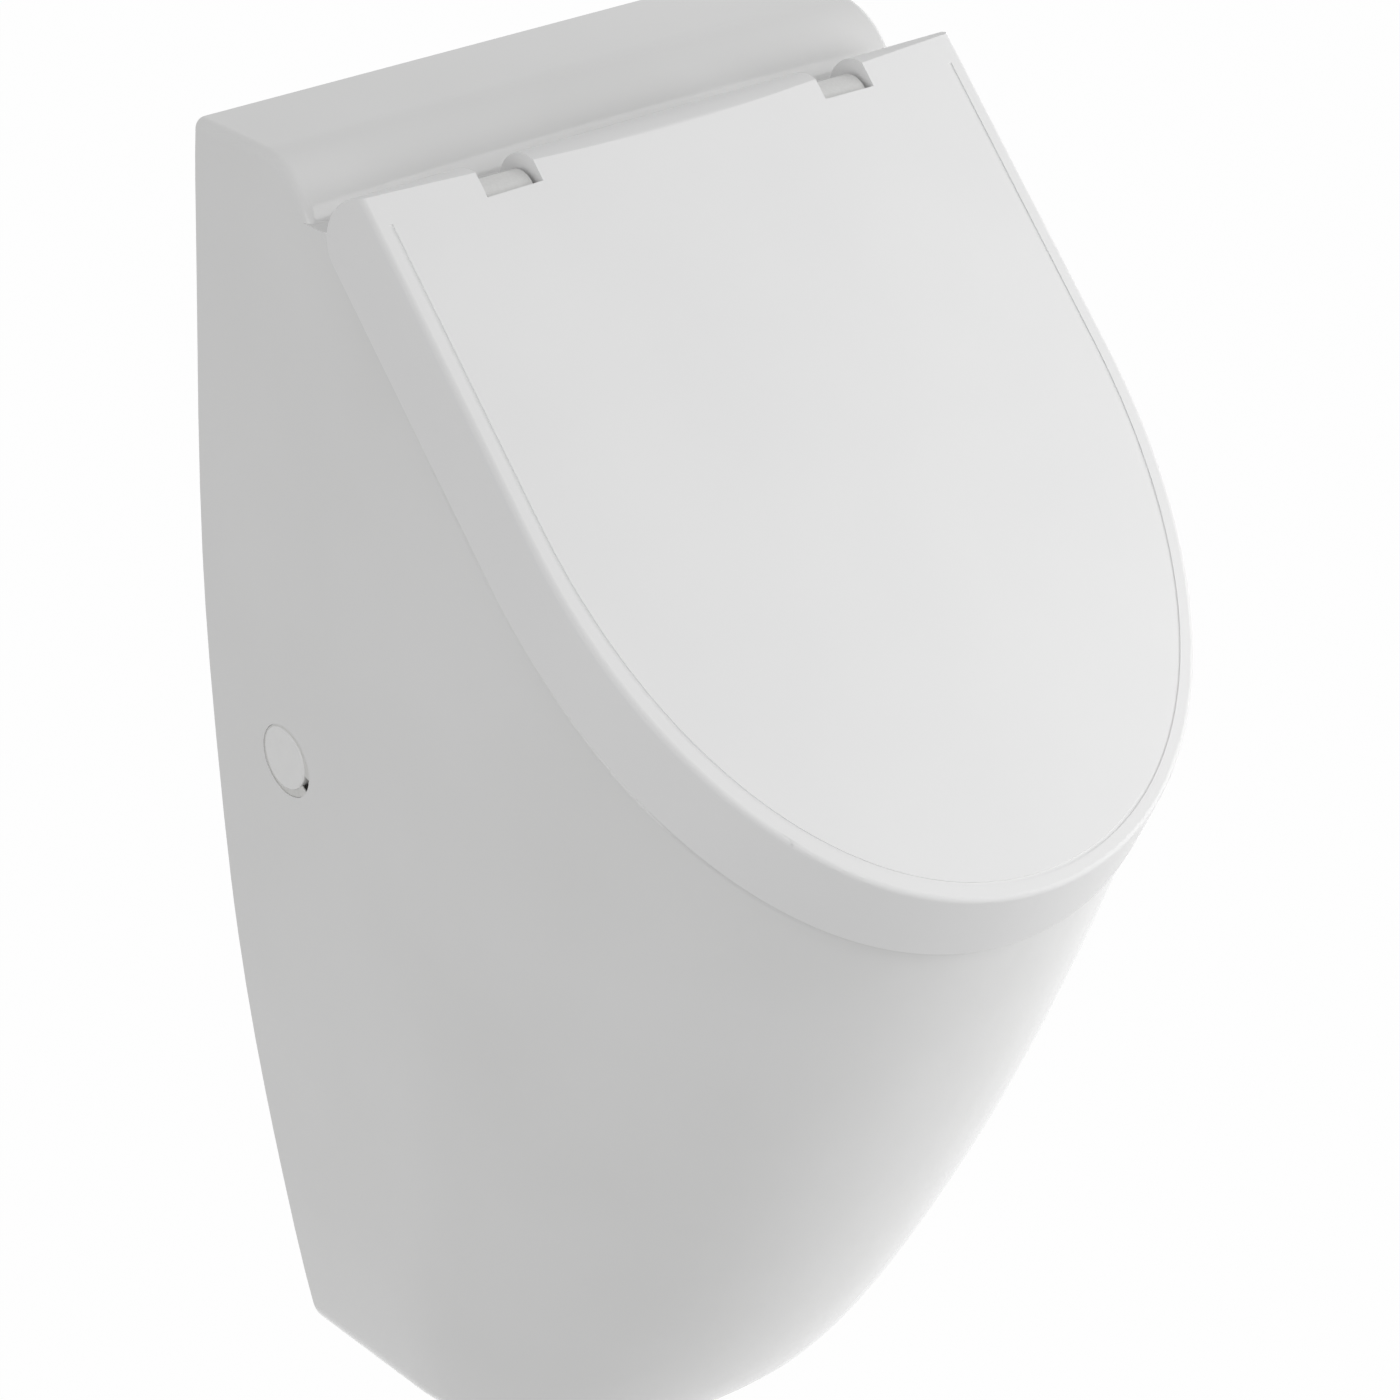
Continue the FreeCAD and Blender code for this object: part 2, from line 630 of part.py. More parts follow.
def make_spray_head():
    """Flush distributor: flanged tube through the bowl's back with a slotted nose facing the bowl."""
    axis, front = inlet_line()
    tube = rod(SPRAY_TUBE_R, -GASKET, BOSS_LENGTH + SPRAY_TAIL, (axis, front))
    nose_start = -GASKET - SPRAY_FLANGE
    flange = rod(SPRAY_FLANGE_R, nose_start, -GASKET, (axis, front))
    nose = Part.makeCone(SPRAY_FLANGE_R - SPRAY_FLANGE, SPRAY_TUBE_R, SPRAY_DOME, front + axis * nose_start, axis * -1)
    head = tube.fuse(flange).fuse(nose)
    bore_start = nose_start - SPRAY_DOME / 2
    head = head.cut(rod(SPRAY_TUBE_BORE_R, bore_start, BOSS_LENGTH + SPRAY_TAIL + CUT_OVERRUN, (axis, front)))
    for k in range(SPRAY_SLOTS):
        turn = SPRAY_SLOT_SPREAD_DEG * (k / (SPRAY_SLOTS - 1) - 1 / 2)
        slot = box(
            Vector(-SPRAY_SLOT / 2, bore_start, -SPRAY_FLANGE_R),
            Vector(SPRAY_SLOT / 2, nose_start - SPRAY_DOME / 6, -SPRAY_TUBE_BORE_R / 2),
        )
        slot.Placement = Placement(front, Rotation(ALONG_Y, turn)).multiply(slot.Placement)
        head = head.cut(slot)
    return head.removeSplitter()


def make_spray_gasket():
    """Flat gasket between the spray head's flange and the ceramic boss."""
    return ring(GASKET_R, INLET_BORE_R, -GASKET, 0, inlet_line())


def make_spray_lock_nut():
    """Hexagonal nut that holds the spray head from behind."""
    line = inlet_line()
    nut = hexagon(LOCK_NUT_ACROSS, BOSS_LENGTH, BOSS_LENGTH + LOCK_NUT, line)
    return nut.cut(rod(SPRAY_TUBE_R, BOSS_LENGTH - CUT_OVERRUN, BOSS_LENGTH + LOCK_NUT + CUT_OVERRUN, line))


def make_inlet_pipe():
    """Plated pipe from the wall into the spray head, with a stop collar."""
    line = inlet_line()
    tail = BOSS_LENGTH + SPRAY_TAIL
    pipe = rod(INLET_PIPE_R, tail - INLET_PIPE_REACH, wall_from_boss() - WALL_CLEARANCE, line)
    collar = rod(INLET_COLLAR_R, tail, tail + INLET_COLLAR, line)
    bore = rod(INLET_PIPE_BORE_R, tail - INLET_PIPE_REACH - CUT_OVERRUN, wall_from_boss() + CUT_OVERRUN, line)
    return pipe.fuse(collar).cut(bore).removeSplitter()


def make_inlet_seal():
    """Lip seal between the inlet pipe and the spray head's tube."""
    tail = BOSS_LENGTH + SPRAY_TAIL
    return lipped_ring(SPRAY_TUBE_BORE_R, INLET_PIPE_R, tail - INLET_SEAL_LENGTH, tail, inlet_line())


# Lid and hinges. These are drawn on the rim's own axes: Y up the slope, Z away from the rim.


def hinge_line():
    """The hinge axis on the rim's own axes."""
    return ALONG_X, Vector(0, -HINGE_DOWN, HINGE_UP)


def lid_slab(inset):
    """The side view of the lid: flat underside, crowned top height and a full-round back edge, drawn in."""
    _, centre = hinge_line()
    radius = HINGE_DOWN - inset
    low = centre + Vector(-WIDTH, 0, -radius)
    high = centre + Vector(-WIDTH, 0, radius)
    back = centre + Vector(-WIDTH, radius, 0)
    far = Vector(0, -LID_LENGTH * 2, 0)
    edges = [
        Part.Arc(low, back, high).toShape(),
        Part.makeLine(high, high + far),
        Part.makeLine(high + far, low + far),
        Part.makeLine(low + far, low),
    ]
    return Part.Face(Part.Wire(edges)).extrude(ALONG_X * (WIDTH * 2))


def crown(drop):
    """A large cylinder along the slope whose top is the lid's crowned surface, lowered by a drop."""
    half = LID_WIDTH / 2
    radius = (half * half + LID_CROWN * LID_CROWN) / (LID_CROWN * 2)
    top = LID_GAP + LID_SKIRT + LID_CROWN
    foot = Vector(0, -LID_LENGTH * 2, top - radius)
    return Part.makeCylinder(radius - drop, LID_LENGTH * 3, foot, ALONG_Y)


def lid_form(inset):
    """The lid's outline from its lower edge up, with drafted sides and front, drawn in by an inset."""
    wires = []
    for share in (0, 2):
        half_width = LID_WIDTH / 2 - LID_SIDE_DRAFT * share - inset
        length = LID_LENGTH - LID_FRONT_DRAFT * share - inset
        level = LID_GAP + LID_SKIRT * share
        wires.append(plan_wire(half_width, length, level, WALL, LID_STRAIGHT_SHARE, LID_FULLNESS_SHARE))
    return Part.makeLoft(wires, True, True)


def lid_groove():
    """A fine groove in the lid's top, just inside its edge."""
    inset = LID_GROOVE_INSET
    band = lid_form(inset).cut(lid_form(inset + LID_GROOVE_WIDTH))
    layer = crown(-CUT_OVERRUN).cut(crown(LID_GROOVE_DEPTH))
    front_half = Vector(-WIDTH, -LID_LENGTH * 2, LID_GAP)
    start = Vector(WIDTH, -HINGE_DOWN, HEIGHT)
    return band.common(layer).common(box(front_half, start))


def notch(grow):
    """Room for a hinge knuckle and its neck in the lid's back edge, over the whole swing."""
    axis, centre = hinge_line()
    half = KNUCKLE_WIDTH / 2 + grow
    low = Vector(HINGE_X - half, centre.y - NOTCH_FRONT_GAP, -CUT_OVERRUN)
    high = Vector(HINGE_X + half, HINGE_DOWN + CUT_OVERRUN, HINGE_UP * 3)
    round_room = rod(KNUCKLE_R + NOTCH_FRONT_GAP, HINGE_X - half, HINGE_X + half, (axis, Vector(0, centre.y, centre.z)))
    below = box(
        Vector(HINGE_X - half, centre.y - POST_FLANGE_R - NOTCH_FRONT_GAP, -CUT_OVERRUN),
        Vector(HINGE_X + half, centre.y, centre.z),
    )
    return box(low, high).fuse(round_room).fuse(below)


def hinge_lugs():
    """Round lugs on both sides of a notch: the outer one takes the pin, the inner one the damper."""
    half = KNUCKLE_WIDTH / 2 + NOTCH_GAP
    outer = rod(LUG_R, HINGE_X + half, HINGE_X + half + LUG_OUTER_LENGTH, hinge_line())
    inner = rod(LUG_R, HINGE_X - half - LUG_INNER_LENGTH, HINGE_X - half, hinge_line())
    return outer.fuse(inner)


def hinge_bores():
    """Bores in the lugs for the pin and the damper cartridge."""
    half = KNUCKLE_WIDTH / 2 + NOTCH_GAP
    pin = rod(PIN_R + PIN_GAP, HINGE_X, HINGE_X + half + PIN_OUTER_REACH + PIN_GAP, hinge_line())
    damper = rod(DAMPER_R, HINGE_X - half - DAMPER_LENGTH, HINGE_X, hinge_line())
    return pin.fuse(damper)


def make_lid_shell():
    """Moulded lid: crowned top, skirt all round, full-round back with hinge lugs, open underneath."""
    blank = lid_form(0).common(crown(0))
    crest = [e for e in blank.Edges if e.BoundBox.ZMin > HINGE_UP and e.BoundBox.YMin < -HINGE_DOWN * 2]
    solid = blank.makeFillet(LID_CREST_ROUNDING, crest).common(lid_slab(0))
    hollow = lid_form(LID_WALL).common(crown(LID_WALL))
    below = box(Vector(-WIDTH, -LID_LENGTH * 2, -WIDTH), Vector(WIDTH, -LID_WALL, WIDTH))
    shell = solid.cut(hollow.common(below))
    lugs = hinge_lugs()
    for line in buffer_lines():
        lugs = lugs.fuse(rod(BUFFER_R + BUFFER_BOSS_WALL, BUFFER_REST + BUFFER_PAD, HINGE_UP * 2, line))
    lugs = lugs.common(solid.cut(lid_groove()))
    shell = shell.fuse(lugs).fuse(mirrored(lugs))
    room = notch(NOTCH_GAP).fuse(hinge_bores())
    shell = shell.cut(room).cut(mirrored(room))
    return on_rim(shell.cut(lid_groove()))


def make_hinge_post():
    """Metal hinge post: round foot on the rim, neck and knuckle, bored for the pin."""
    axis, centre = hinge_line()
    half = KNUCKLE_WIDTH / 2
    foot_line = (ALONG_Z, Vector(HINGE_X, centre.y, 0))
    foot = rod(POST_FLANGE_R, HINGE_PAD, HINGE_PAD + POST_FLANGE, foot_line)
    neck = box(
        Vector(HINGE_X - half, centre.y - NECK_THICKNESS / 2, HINGE_PAD),
        Vector(HINGE_X + half, centre.y + NECK_THICKNESS / 2, centre.z),
    )
    knuckle = rod(KNUCKLE_R, HINGE_X - half, HINGE_X + half, (axis, centre))
    post = foot.fuse(neck).fuse(knuckle)
    post = post.cut(rod(PIN_R, 0, WIDTH, (axis, centre)))
    bolt_hole = rod(HINGE_BOLT_R, 0, centre.z - PIN_R - FIT_GAP, foot_line)
    return on_rim(post.cut(bolt_hole).removeSplitter())


def make_hinge_pin():
    """Steel pin through the knuckle, turning in the lid's outer lug and in the damper."""
    half = KNUCKLE_WIDTH / 2 + NOTCH_GAP
    return on_rim(rod(PIN_R, HINGE_X - half - PIN_INNER_REACH, HINGE_X + half + PIN_OUTER_REACH, hinge_line()))


def make_damper():
    """Soft-close cartridge pressed into the lid's inner lug, with a socket for the pin."""
    half = KNUCKLE_WIDTH / 2 + NOTCH_GAP
    end = HINGE_X - half
    case = rod(DAMPER_R, end - DAMPER_LENGTH, end - DAMPER_FLAT, hinge_line())
    socket = rod(PIN_R + PIN_GAP, end - PIN_INNER_REACH - PIN_GAP, end + CUT_OVERRUN, hinge_line())
    return on_rim(case.cut(socket))


def make_hinge_pad():
    """Thin plastic pad under the hinge post."""
    _, centre = hinge_line()
    return on_rim(ring(POST_FLANGE_R, HINGE_BOLT_R, 0, HINGE_PAD, (ALONG_Z, Vector(HINGE_X, centre.y, 0))))


def make_hinge_bolt():
    """Stud from the hinge post through the ceramic."""
    _, centre = hinge_line()
    line = (ALONG_Z, Vector(HINGE_X, centre.y, 0))
    return on_rim(rod(HINGE_BOLT_R, -HINGE_BOLT_LENGTH, centre.z - PIN_R - FIT_GAP, line))


def make_hinge_bush():
    """Rubber bush that centres the stud in the ceramic's hole."""
    _, centre = hinge_line()
    line = (ALONG_Z, Vector(HINGE_X, centre.y, 0))
    return on_rim(ring(HINGE_BUSH_R, HINGE_BOLT_R, -RIM_THICKNESS, 0, line))


def make_hinge_washer():
    """Washer under the ceramic."""
    _, centre = hinge_line()
    line = (ALONG_Z, Vector(HINGE_X, centre.y, 0))
    return on_rim(ring(HINGE_WASHER_R, HINGE_BOLT_R, -RIM_THICKNESS - HINGE_WASHER, -RIM_THICKNESS, line))


def make_hinge_nut():
    """Hexagonal nut on the stud."""
    _, centre = hinge_line()
    line = (ALONG_Z, Vector(HINGE_X, centre.y, 0))
    top = -RIM_THICKNESS - HINGE_WASHER
    nut = hexagon(HINGE_NUT_ACROSS, top - HINGE_NUT, top, line)
    return on_rim(nut.cut(rod(HINGE_BOLT_R, top - HINGE_NUT - CUT_OVERRUN, top + CUT_OVERRUN, line)))


def buffer_lines():
    """Lines through the right-hand buffers, away from the rim."""
    lines = []
    for down_share, across_share in zip(BUFFER_DOWN_SHARES, BUFFER_ACROSS_SHARES):
        lines.append((ALONG_Z, Vector(LID_WIDTH * across_share, -LID_LENGTH * down_share, 0)))
    return lines


def make_lid_buffers():
    """Rubber buffers on bosses under the lid, which rest on the rim when it is shut."""
    pads = [rod(BUFFER_R, BUFFER_REST, BUFFER_REST + BUFFER_PAD, line) for line in buffer_lines()]
    pads = pads + [mirrored(pad) for pad in pads]
    return Part.Compound([on_rim(pad) for pad in pads])


# Export: every node by name, moved so that the origin lies midway between the bracket screws.


def pair(shape):
    """Both sides of a piece as one group of separate solids."""
    return Part.Compound([shape, mirrored(shape)])


def main():
    nodes = {
        "ceramic_body": make_ceramic_body(),
        "outlet_strainer": make_outlet_strainer(),
        "outlet_seal": make_outlet_seal(),
        "trap_body": make_trap_body(),
        "spray_head": make_spray_head(),
        "spray_gasket": make_spray_gasket(),
        "spray_lock_nut": make_spray_lock_nut(),
        "inlet_pipe": make_inlet_pipe(),
        "inlet_seal": make_inlet_seal(),
        "lid_shell": make_lid_shell(),
        "lid_buffers": make_lid_buffers(),
        "hinge_pads": pair(make_hinge_pad()),
        "hinge_bushes": pair(make_hinge_bush()),
        "hinge_washers": pair(make_hinge_washer()),
        "hinge_nuts": pair(make_hinge_nut()),
    }
    sided = {
        "screw_sleeve": make_screw_sleeve(),
        "side_screw": make_side_screw(),
        "cover_cap": make_cover_cap(),
        "wall_bracket": make_wall_bracket(),
        "hinge_post": make_hinge_post(),
        "hinge_pin": make_hinge_pin(),
        "hinge_bolt": make_hinge_bolt(),
        "lid_damper": make_damper(),
    }
    for name, shape in sided.items():
        nodes[name + "_right"] = shape
        nodes[name + "_left"] = mirrored(shape)
    os.makedirs("parts", exist_ok=True)
    for name, shape in sorted(nodes.items()):
        placed = shape.copy()
        placed.translate(Vector(0, 0, -FIX_HEIGHT))
        placed.exportStep(os.path.join("parts", name + ".step"))
        print(name, "solids", len(placed.Solids), "valid", placed.isValid(), "cm3", round(placed.Volume / 1000, 2))


main()
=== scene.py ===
import math
import bmesh
import bpy
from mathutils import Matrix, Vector
from mathutils.bvhtree import BVHTree


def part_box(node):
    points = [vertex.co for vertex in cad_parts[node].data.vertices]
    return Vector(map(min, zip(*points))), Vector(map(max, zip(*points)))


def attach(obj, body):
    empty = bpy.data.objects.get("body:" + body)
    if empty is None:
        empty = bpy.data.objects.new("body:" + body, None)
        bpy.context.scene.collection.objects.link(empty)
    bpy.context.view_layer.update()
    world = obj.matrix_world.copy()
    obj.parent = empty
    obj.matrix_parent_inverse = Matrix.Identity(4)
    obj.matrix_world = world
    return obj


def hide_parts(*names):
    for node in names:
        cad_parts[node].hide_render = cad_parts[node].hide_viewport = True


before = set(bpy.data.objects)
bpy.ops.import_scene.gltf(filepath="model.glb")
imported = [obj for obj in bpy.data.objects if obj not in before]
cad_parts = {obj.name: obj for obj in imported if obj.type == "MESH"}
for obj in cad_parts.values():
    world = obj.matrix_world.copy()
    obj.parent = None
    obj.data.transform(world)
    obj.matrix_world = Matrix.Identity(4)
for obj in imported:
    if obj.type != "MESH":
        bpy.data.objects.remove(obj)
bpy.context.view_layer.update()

# Wall brackets.
# Two zinc-plated steel angles, screwed to the wall behind the ceramic. Each has a thin foot with a screw
# hole and a thicker arm that takes the side screw.


def seamless_copy(node, crease_deg):
    """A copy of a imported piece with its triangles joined, smooth over its curves and sharp at its edges."""
    weld_reach = 0.000002
    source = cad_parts[node]
    mesh = source.data.copy()
    mesh.name = node + "_surface"
    mesh.materials.clear()
    work = bmesh.new()
    work.from_mesh(mesh)
    bmesh.ops.remove_doubles(work, verts=work.verts, dist=weld_reach)
    limit = math.radians(crease_deg)
    for face in work.faces:
        face.smooth = True
    for edge in work.edges:
        edge.smooth = len(edge.link_faces) == 2 and edge.calc_face_angle(0.0) < limit
    work.to_mesh(mesh)
    work.free()
    piece = bpy.data.objects.new(node + "_visible", mesh)
    bpy.context.scene.collection.objects.link(piece)
    return piece


def finish_shader(name, colour, roughness, metallic):
    """A material with one shader, its colour, roughness and metal content set on the shader itself."""
    material = bpy.data.materials.new(name)
    material.use_nodes = True
    shader = material.node_tree.nodes["Principled BSDF"]
    shader.inputs["Base Color"].default_value = (*colour, 1.0)
    shader.inputs["Roughness"].default_value = roughness
    shader.inputs["Metallic"].default_value = metallic
    return material, shader


def object_noise(material, scale, detail, stretch=(1.0, 1.0, 1.0)):
    """A noise texture on the piece's own coordinates, in cycles per metre, stretched along an axis."""
    nodes, links = material.node_tree.nodes, material.node_tree.links
    place = nodes.new("ShaderNodeTexCoord")
    turn = nodes.new("ShaderNodeMapping")
    turn.inputs["Scale"].default_value = stretch
    noise = nodes.new("ShaderNodeTexNoise")
    noise.inputs["Scale"].default_value = scale
    noise.inputs["Detail"].default_value = detail
    links.new(place.outputs["Object"], turn.inputs["Vector"])
    links.new(turn.outputs["Vector"], noise.inputs["Vector"])
    return noise


def colour_spread(material, shader, source, low, high, start=0.3, end=0.7):
    """Lets a texture move the shader's colour between two tones."""
    ramp = material.node_tree.nodes.new("ShaderNodeValToRGB")
    ramp.color_ramp.elements[0].position = start
    ramp.color_ramp.elements[1].position = end
    ramp.color_ramp.elements[0].color = (*low, 1.0)
    ramp.color_ramp.elements[1].color = (*high, 1.0)
    material.node_tree.links.new(source, ramp.inputs["Fac"])
    material.node_tree.links.new(ramp.outputs["Color"], shader.inputs["Base Color"])


def roughness_spread(material, shader, source, low, high):
    """Lets a texture move the shader's roughness between two values."""
    span = material.node_tree.nodes.new("ShaderNodeMapRange")
    span.inputs["To Min"].default_value = low
    span.inputs["To Max"].default_value = high
    material.node_tree.links.new(source, span.inputs["Value"])
    material.node_tree.links.new(span.outputs["Result"], shader.inputs["Roughness"])


def surface_relief(material, shader, source, strength, height):
    """Lets a texture raise the surface a little, height in metres."""
    bump = material.node_tree.nodes.new("ShaderNodeBump")
    bump.inputs["Strength"].default_value = strength
    bump.inputs["Distance"].default_value = height
    material.node_tree.links.new(source, bump.inputs["Height"])
    material.node_tree.links.new(bump.outputs["Normal"], shader.inputs["Normal"])


zinc_plate, zinc_shader = finish_shader("zinc_plate", (0.50, 0.51, 0.52), 0.42, 0.9)
spangle = zinc_plate.node_tree.nodes.new("ShaderNodeTexVoronoi")
spangle.inputs["Scale"].default_value = 320.0
spangle_place = zinc_plate.node_tree.nodes.new("ShaderNodeTexCoord")
zinc_plate.node_tree.links.new(spangle_place.outputs["Object"], spangle.inputs["Vector"])
colour_spread(
    zinc_plate, zinc_shader, spangle.outputs["Color"],
    low=(0.42, 0.43, 0.45), high=(0.60, 0.61, 0.62), start=0.2, end=0.8,
)
zinc_cloud = object_noise(zinc_plate, 90.0, 4.0)
roughness_spread(zinc_plate, zinc_shader, zinc_cloud.outputs["Fac"], 0.30, 0.55)


def dress(node, material, body, crease_deg=28.0):
    """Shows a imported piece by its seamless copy, in one material, on its body."""
    piece = seamless_copy(node, crease_deg)
    piece.data.materials.append(material)
    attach(piece, body)
    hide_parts(node)
    return piece


for side in ("left", "right"):
    dress("wall_bracket_" + side, zinc_plate, "urinal")

# Ceramic body.
# Slip-cast vitreous china with a white glaze fired on. The glaze stops at the back, so the edge on the
# wall and the hollow behind the bowl are bare, matt ware.

ceramic = seamless_copy("ceramic_body", 24.0)
glaze, glaze_shader = finish_shader("white_glaze", (0.82, 0.82, 0.815), 0.12, 0.0)
glaze_shader.inputs["IOR"].default_value = 1.5
glaze_shader.inputs["Coat Weight"].default_value = 0.35
glaze_shader.inputs["Coat Roughness"].default_value = 0.06
glaze_cloud = object_noise(glaze, 11.0, 2.0)
colour_spread(glaze, glaze_shader, glaze_cloud.outputs["Fac"], (0.805, 0.805, 0.80), (0.835, 0.835, 0.832))
glaze_ripple = object_noise(glaze, 70.0, 1.0)
surface_relief(glaze, glaze_shader, glaze_ripple.outputs["Fac"], 0.05, 0.0006)
roughness_spread(glaze, glaze_shader, glaze_cloud.outputs["Fac"], 0.10, 0.17)

bare_ware, bare_shader = finish_shader("bare_ware", (0.72, 0.69, 0.63), 0.85, 0.0)
bare_grain = object_noise(bare_ware, 420.0, 6.0)
colour_spread(bare_ware, bare_shader, bare_grain.outputs["Fac"], (0.66, 0.63, 0.57), (0.76, 0.73, 0.68))
surface_relief(bare_ware, bare_shader, bare_grain.outputs["Fac"], 0.35, 0.0004)

ceramic.data.materials.append(glaze)
ceramic.data.materials.append(bare_ware)

# A face is glazed where the glaze gun reaches it: open to the front in a few directions at least.
spray_ways = []
for tilt_deg in (-80, -50, -20, 5, 30, 60, 85):
    for turn_deg in (-88, -55, -25, 0, 25, 55, 88):
        tilt, turn = math.radians(tilt_deg), math.radians(turn_deg)
        level = math.cos(tilt)
        spray_ways.append(Vector((level * math.sin(turn), -level * math.cos(turn), math.sin(tilt))))
off_face = 0.0003
least_facing = 0.02
least_open = 3
wall_edge = 0.0004
ware_mesh = ceramic.data
ware = BVHTree.FromPolygons([v.co for v in ware_mesh.vertices], [p.vertices for p in ware_mesh.polygons])
for face in ware_mesh.polygons:
    spot = face.center + face.normal * off_face
    open_count = sum(
        way.dot(face.normal) > least_facing and ware.ray_cast(spot, way)[0] is None
        for way in spray_ways
    )
    face.material_index = 0 if open_count >= least_open and face.center.y < -wall_edge else 1
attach(ceramic, "urinal")
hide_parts("ceramic_body")

# Waste outlet.
# A pressed steel strainer lies in the outlet above a moulded grey trap, which pushes up into the
# ceramic with a black lip seal round its neck.

polished_steel, polished_shader = finish_shader("polished_steel", (0.66, 0.66, 0.67), 0.18, 1.0)
polish_lines = object_noise(polished_steel, 260.0, 3.0, (1.0, 0.08, 1.0))
roughness_spread(polished_steel, polished_shader, polish_lines.outputs["Fac"], 0.12, 0.28)
dress("outlet_strainer", polished_steel, "urinal")

black_rubber, rubber_shader = finish_shader("black_rubber", (0.022, 0.022, 0.023), 0.65, 0.0)
rubber_dust = object_noise(black_rubber, 240.0, 5.0)
colour_spread(
    black_rubber, rubber_shader, rubber_dust.outputs["Fac"],
    low=(0.016, 0.016, 0.017), high=(0.045, 0.044, 0.043),
)
roughness_spread(black_rubber, rubber_shader, rubber_dust.outputs["Fac"], 0.5, 0.8)
dress("outlet_seal", black_rubber, "urinal")

grey_moulding, grey_shader = finish_shader("grey_moulding", (0.16, 0.165, 0.17), 0.45, 0.0)
grey_grain = object_noise(grey_moulding, 600.0, 3.0)
colour_spread(
    grey_moulding, grey_shader, grey_grain.outputs["Fac"],
    low=(0.14, 0.145, 0.15), high=(0.185, 0.19, 0.195),
)
surface_relief(grey_moulding, grey_shader, grey_grain.outputs["Fac"], 0.15, 0.0002)
dress("trap_body", grey_moulding, "urinal")

# Water inlet.
# A plated pipe brings the flush water from the wall into a plated spray head, which is clamped in the
# bowl's back by a plastic nut on its threaded tail, with a rubber gasket under its flange.

bright_plate, plate_shader = finish_shader("bright_plate", (0.78, 0.78, 0.79), 0.07, 1.0)
plate_cloud = object_noise(bright_plate, 45.0, 3.0)
roughness_spread(bright_plate, plate_shader, plate_cloud.outputs["Fac"], 0.05, 0.14)
dress("spray_head", bright_plate, "urinal")
dress("spray_gasket", black_rubber, "urinal")

white_moulding, moulding_shader = finish_shader("white_moulding", (0.74, 0.74, 0.72), 0.38, 0.0)
moulding_grain = object_noise(white_moulding, 500.0, 3.0)
colour_spread(
    white_moulding, moulding_shader, moulding_grain.outputs["Fac"],
    low=(0.71, 0.71, 0.69), high=(0.77, 0.77, 0.755),
)
surface_relief(white_moulding, moulding_shader, moulding_grain.outputs["Fac"], 0.12, 0.0002)
dress("spray_lock_nut", white_moulding, "urinal")
dress("inlet_pipe", bright_plate, "urinal")
dress("inlet_seal", black_rubber, "urinal")


def thread_nodes():
    """A node tree for threads: a ridge wound round a shank, turned to its axis and set on a row of places."""
    tree = bpy.data.node_groups.new("screw_thread", "GeometryNodeTree")
    sockets = (
        ("Radius", "NodeSocketFloat"),
        ("Pitch", "NodeSocketFloat"),
        ("Length", "NodeSocketFloat"),
        ("Ridge", "NodeSocketFloat"),
        ("Turn", "NodeSocketVector"),
        ("First", "NodeSocketVector"),
        ("Apart", "NodeSocketVector"),
        ("Count", "NodeSocketInt"),
        ("Finish", "NodeSocketMaterial"),
    )
    for label, kind in sockets:
        tree.interface.new_socket(label, in_out="INPUT", socket_type=kind)
    tree.interface.new_socket("Threads", in_out="OUTPUT", socket_type="NodeSocketGeometry")
    given = tree.nodes.new("NodeGroupInput").outputs
    join = tree.links.new
    turns = tree.nodes.new("ShaderNodeMath")
    turns.operation = "DIVIDE"
    join(given["Length"], turns.inputs[0])
    join(given["Pitch"], turns.inputs[1])
    winding = tree.nodes.new("GeometryNodeCurveSpiral")
    winding.inputs["Resolution"].default_value = 28
    join(turns.outputs[0], winding.inputs["Rotations"])
    join(given["Radius"], winding.inputs["Start Radius"])
    join(given["Radius"], winding.inputs["End Radius"])
    join(given["Length"], winding.inputs["Height"])
    ridge = tree.nodes.new("GeometryNodeCurvePrimitiveCircle")
    ridge.inputs["Resolution"].default_value = 6
    join(given["Ridge"], ridge.inputs["Radius"])
    skin = tree.nodes.new("GeometryNodeCurveToMesh")
    skin.inputs["Fill Caps"].default_value = True
    join(winding.outputs["Curve"], skin.inputs["Curve"])
    join(ridge.outputs["Curve"], skin.inputs["Profile Curve"])
    half_back = tree.nodes.new("ShaderNodeMath")
    half_back.operation = "MULTIPLY"
    half_back.inputs[1].default_value = -0.5
    join(given["Length"], half_back.inputs[0])
    centring = tree.nodes.new("ShaderNodeCombineXYZ")
    join(half_back.outputs[0], centring.inputs["Z"])
    centred = tree.nodes.new("GeometryNodeTransform")
    join(skin.outputs["Mesh"], centred.inputs["Geometry"])
    join(centring.outputs["Vector"], centred.inputs["Translation"])
    heading = tree.nodes.new("FunctionNodeEulerToRotation")
    join(given["Turn"], heading.inputs["Euler"])
    turned = tree.nodes.new("GeometryNodeTransform")
    join(centred.outputs["Geometry"], turned.inputs["Geometry"])
    join(heading.outputs["Rotation"], turned.inputs["Rotation"])
    row = tree.nodes.new("GeometryNodeMeshLine")
    join(given["Count"], row.inputs["Count"])
    join(given["First"], row.inputs["Start Location"])
    join(given["Apart"], row.inputs["Offset"])
    placed = tree.nodes.new("GeometryNodeInstanceOnPoints")
    join(row.outputs["Mesh"], placed.inputs["Points"])
    join(turned.outputs["Geometry"], placed.inputs["Instance"])
    solid = tree.nodes.new("GeometryNodeRealizeInstances")
    join(placed.outputs["Instances"], solid.inputs["Geometry"])
    painted = tree.nodes.new("GeometryNodeSetMaterial")
    join(solid.outputs["Geometry"], painted.inputs["Geometry"])
    join(given["Finish"], painted.inputs["Material"])
    join(painted.outputs["Geometry"], tree.nodes.new("NodeGroupOutput").inputs["Threads"])
    return tree


screw_thread = thread_nodes()


